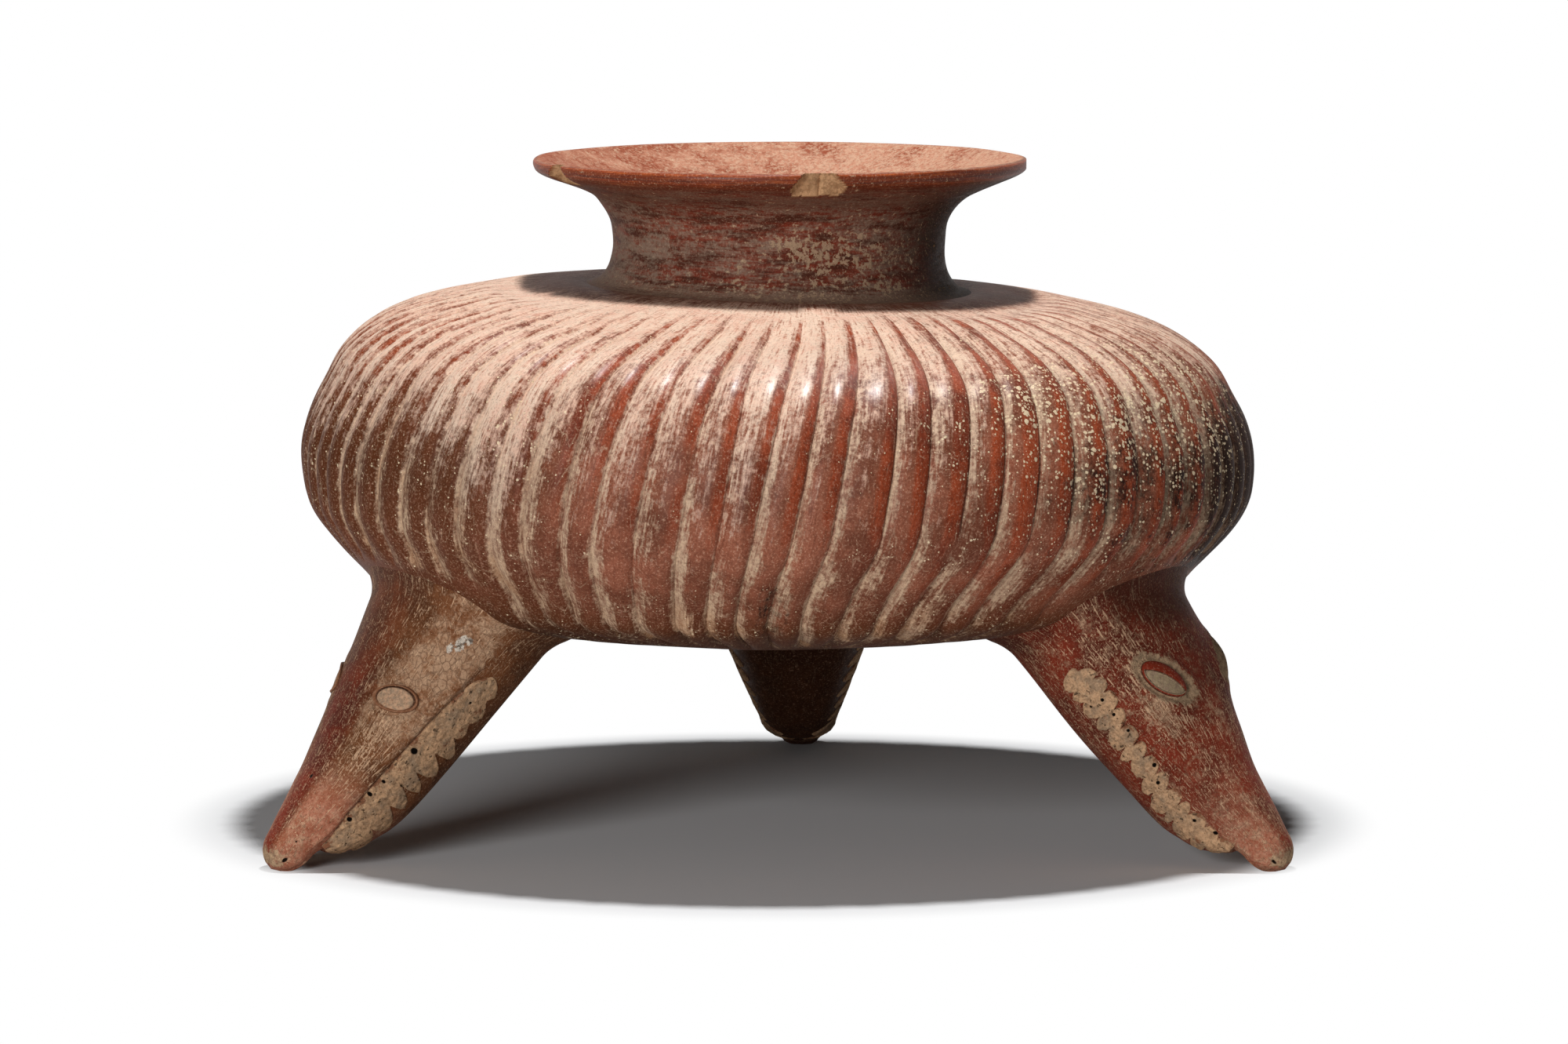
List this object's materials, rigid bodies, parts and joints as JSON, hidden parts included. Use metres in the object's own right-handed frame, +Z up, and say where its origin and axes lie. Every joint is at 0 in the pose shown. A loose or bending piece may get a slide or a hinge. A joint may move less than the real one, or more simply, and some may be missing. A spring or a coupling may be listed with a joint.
{
  "type": "gadrooned tripod vessel",
  "caption": "Squat gadrooned earthenware pot with a short flaring neck, standing on hollow legs shaped as reptile heads, snout tips down.",
  "frame": {"origin": "centre of the bounding box at floor level, between the three snout tips; the pot's own axis stands about 17 mm in front of it, at y = -0.0173 m", "axes": "+Z up, +Y towards the rear leg, +X to the right of someone who faces the two front legs"},
  "size_m": [0.349, 0.3646, 0.2346],
  "materials": {
    "ribbed_slip": "burnished red-brown slip with pale deposit in the grooves",
    "neck_slip": "dark red slip, burnished in level strokes",
    "head_slip": "red-brown slip, scratched and worn",
    "jaw_slip": "dark red-brown slip",
    "bare_clay": "matt unslipped buff clay with small pits",
    "eye_clay": "matt buff clay with traces of red slip"
  },
  "bodies": {
    "root": {"lower_bowl": "ribbed_slip", "shoulder": "ribbed_slip", "neck": "neck_slip", "front_left_head": "head_slip", "front_left_jaw": "jaw_slip", "front_left_teeth_right": "bare_clay", "front_left_teeth_left": "bare_clay", "front_left_eye_right": "eye_clay", "front_left_eye_left": "eye_clay", "front_right_head": "head_slip", "front_right_jaw": "jaw_slip", "front_right_teeth_right": "bare_clay", "front_right_teeth_left": "bare_clay", "front_right_eye_right": "eye_clay", "front_right_eye_left": "eye_clay", "rear_head": "head_slip", "rear_jaw": "jaw_slip", "rear_teeth_right": "bare_clay", "rear_teeth_left": "bare_clay", "rear_eye_right": "eye_clay", "rear_eye_left": "eye_clay"}
  },
  "joints": []
}
